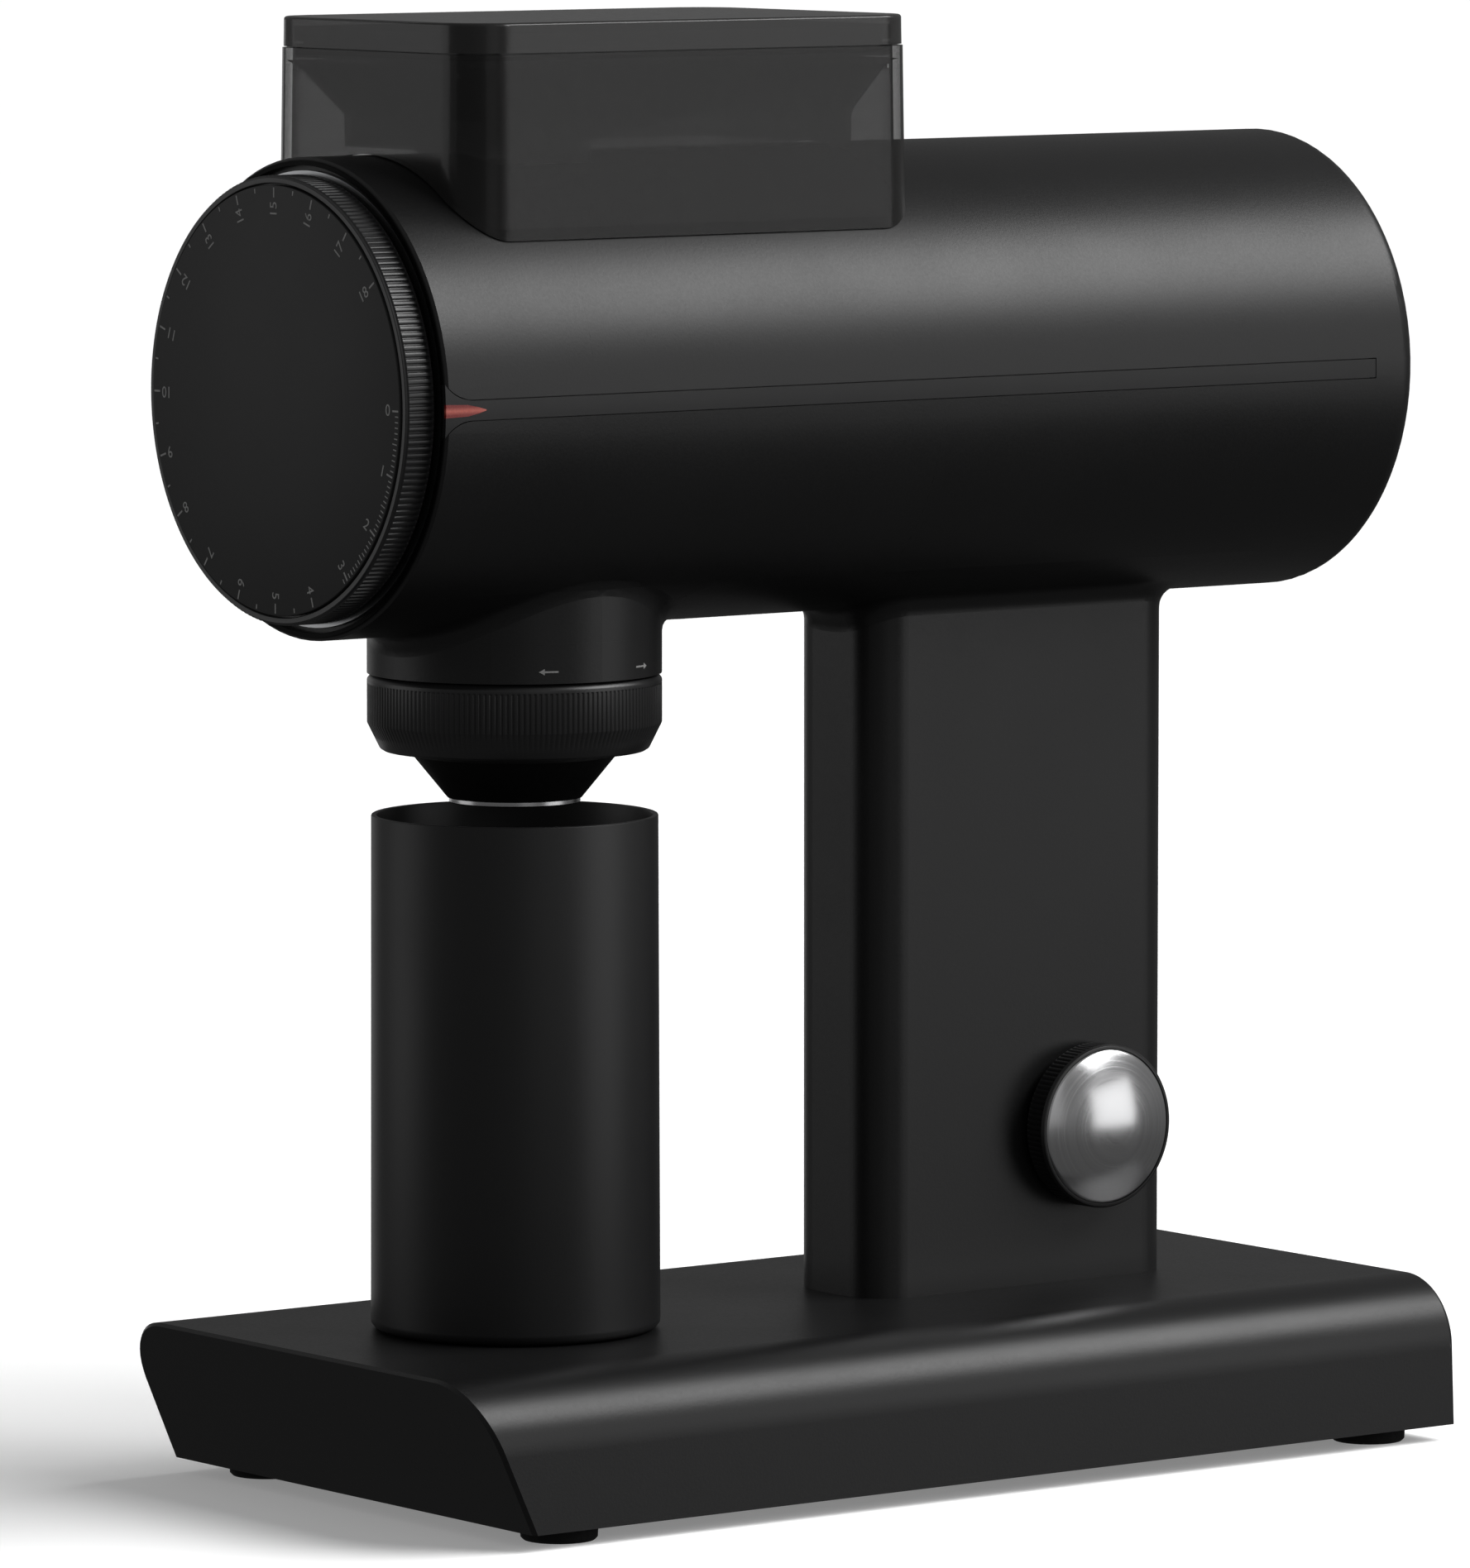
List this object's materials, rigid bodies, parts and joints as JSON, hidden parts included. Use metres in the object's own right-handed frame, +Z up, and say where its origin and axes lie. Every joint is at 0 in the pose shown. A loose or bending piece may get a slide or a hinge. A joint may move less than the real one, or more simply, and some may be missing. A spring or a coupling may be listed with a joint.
{
  "type": "electric coffee grinder",
  "caption": "Electric single-dose coffee grinder: horizontal burr drum with front grind dial, smoky hopper with lid, knurled outlet collar, loose cup and side speed knob on a flat base.",
  "frame": {"origin": "on the floor, under the centre of the overall box", "axes": "+Z up along the overall height, +X towards the side with the pointer strip and the speed knob, -Y towards the grind dial"},
  "size_m": [0.1438, 0.2936, 0.3425],
  "materials": {
    "housing_black": "satin black powder coat with a very fine grain",
    "strip_black": "satin black",
    "pointer_red": "glossy red resin",
    "machined_aluminium": "fine turned aluminium",
    "seal_rubber": "matte black rubber",
    "bearing_steel": "ground steel",
    "motor_steel": "zinc-plated steel",
    "screw_steel": "bright zinc",
    "stator_dark": "varnished laminations",
    "board_green": "green circuit board",
    "loom_black": "black sleeve",
    "cover_black": "satin black powder coat",
    "screw_black": "black oxide",
    "liner_plastic": "satin black moulding",
    "bush_plastic": "black acetal",
    "base_black": "satin black powder coat",
    "plate_black": "matte black sheet",
    "foot_rubber": "matte black rubber",
    "inlet_plastic": "black moulding",
    "pin_brass": "plain brass",
    "sleeve_aluminium": "clear anodised",
    "dial_black": "black anodised with a straight knurl",
    "dial_face_black": "matte black anodised with engraved pale marks",
    "burr_steel": "bronze-coloured coated steel, ground teeth",
    "shaft_steel": "ground steel",
    "auger_steel": "cast steel",
    "hopper_smoke": "smoky clear plastic, polished",
    "collar_black": "black anodised with a fine straight knurl",
    "nozzle_black": "matte black",
    "outlet_aluminium": "plain turned aluminium",
    "cup_black": "satin black",
    "skirt_black": "satin black",
    "knob_silver": "polished satin aluminium"
  },
  "bodies": {
    "main_frame": {"main_housing": "housing_black", "side_strip": "strip_black", "pointer_insert": "pointer_red", "grind_chamber": "machined_aluminium", "shaft_seal": "seal_rubber", "motor_mount": "machined_aluminium", "front_bearing": "bearing_steel", "motor_can": "motor_steel", "motor_screws": "screw_steel", "motor_stator": "stator_dark", "rear_bearing": "bearing_steel", "motor_driver_board": "board_green", "wiring_loom": "loom_black", "rear_cover": "cover_black", "rear_cover_screws": "screw_black", "chute_liner": "liner_plastic", "knob_bushing": "bush_plastic", "knob_encoder": "board_green", "base_shell": "base_black", "base_plate": "plate_black", "base_plate_screws": "screw_black", "column_bolts": "screw_steel", "rubber_feet": "foot_rubber", "power_board": "board_green", "power_inlet": "inlet_plastic", "inlet_pins": "pin_brass"},
    "front_cartridge": {"cartridge_sleeve": "sleeve_aluminium", "guide_keys": "screw_steel"},
    "grind_dial": {"dial": "dial_black", "dial_face": "dial_face_black", "dial_o_ring": "seal_rubber", "dial_snap_ring": "screw_black"},
    "burr_carriage": {"burr_carrier": "machined_aluminium", "feed_ring": "machined_aluminium", "feed_ring_screws": "screw_steel", "stationary_burr": "burr_steel", "stationary_burr_screws": "screw_steel"},
    "rotor": {"drive_shaft": "shaft_steel", "motor_rotor": "stator_dark", "cooling_fan": "bush_plastic", "rotating_carrier": "machined_aluminium", "rotating_burr": "burr_steel", "rotating_burr_screws": "screw_steel", "auger": "auger_steel", "auger_nut": "screw_steel"},
    "hopper": {"hopper_shell": "hopper_smoke", "hopper_funnel": "hopper_smoke", "funnel_skirt": "hopper_smoke"},
    "lid": {"hopper_lid": "hopper_smoke", "lid_seal": "seal_rubber"},
    "outlet": {"outlet_collar": "collar_black", "nozzle": "nozzle_black", "outlet_ring": "outlet_aluminium"},
    "cup": {"catch_cup": "cup_black", "cup_foot_pad": "foot_rubber"},
    "knob_plunger": {"knob_slider": "bush_plastic"},
    "speed_knob": {"knob_shaft": "shaft_steel", "knob_skirt": "skirt_black", "knob_cap": "knob_silver"}
  },
  "joints": [
    {"name": "cartridge_withdraw", "type": "slide", "parent": "main_frame", "child": "front_cartridge", "axis": [0, -1, 0], "range_m": [0, 0.1]},
    {"name": "dial_turn", "type": "hinge", "parent": "front_cartridge", "child": "grind_dial", "pos_m": [0, -0.14, 0.2567], "axis": [0, -1, 0], "range_deg": [0, 324]},
    {"name": "burr_feed", "type": "slide", "parent": "front_cartridge", "child": "burr_carriage", "axis": [0, -1, 0], "range_m": [0, 0.0009]},
    {"name": "motor_spin", "type": "hinge", "parent": "main_frame", "child": "rotor", "pos_m": [0, 0, 0.2567], "axis": [0, 1, 0], "continuous": true},
    {"name": "hopper_lift", "type": "slide", "parent": "main_frame", "child": "hopper", "axis": [0, 0, 1], "range_m": [0, 0.06]},
    {"name": "lid_lift", "type": "slide", "parent": "hopper", "child": "lid", "axis": [0, 0, 1], "range_m": [0, 0.05]},
    {"name": "collar_turn", "type": "hinge", "parent": "main_frame", "child": "outlet", "pos_m": [0, -0.07973, 0.18], "axis": [0, 0, 1], "range_deg": [-30, 30]},
    {"name": "cup_slide", "type": "slide", "parent": "main_frame", "child": "cup", "axis": [0, -1, 0], "range_m": [0, 0.12]},
    {"name": "knob_push", "type": "slide", "parent": "main_frame", "child": "knob_plunger", "axis": [-1, 0, 0], "range_m": [0, 0.0012], "stiffness_N_per_m": 2500, "springref_m": -0.0006},
    {"name": "knob_turn", "type": "hinge", "parent": "knob_plunger", "child": "speed_knob", "pos_m": [0.02, 0.0762, 0.0764], "axis": [1, 0, 0], "range_deg": [0, 270]}
  ],
  "couplings": [
    {"joint": "burr_feed", "follows": "dial_turn", "m_per_rad": 0.000159}
  ]
}
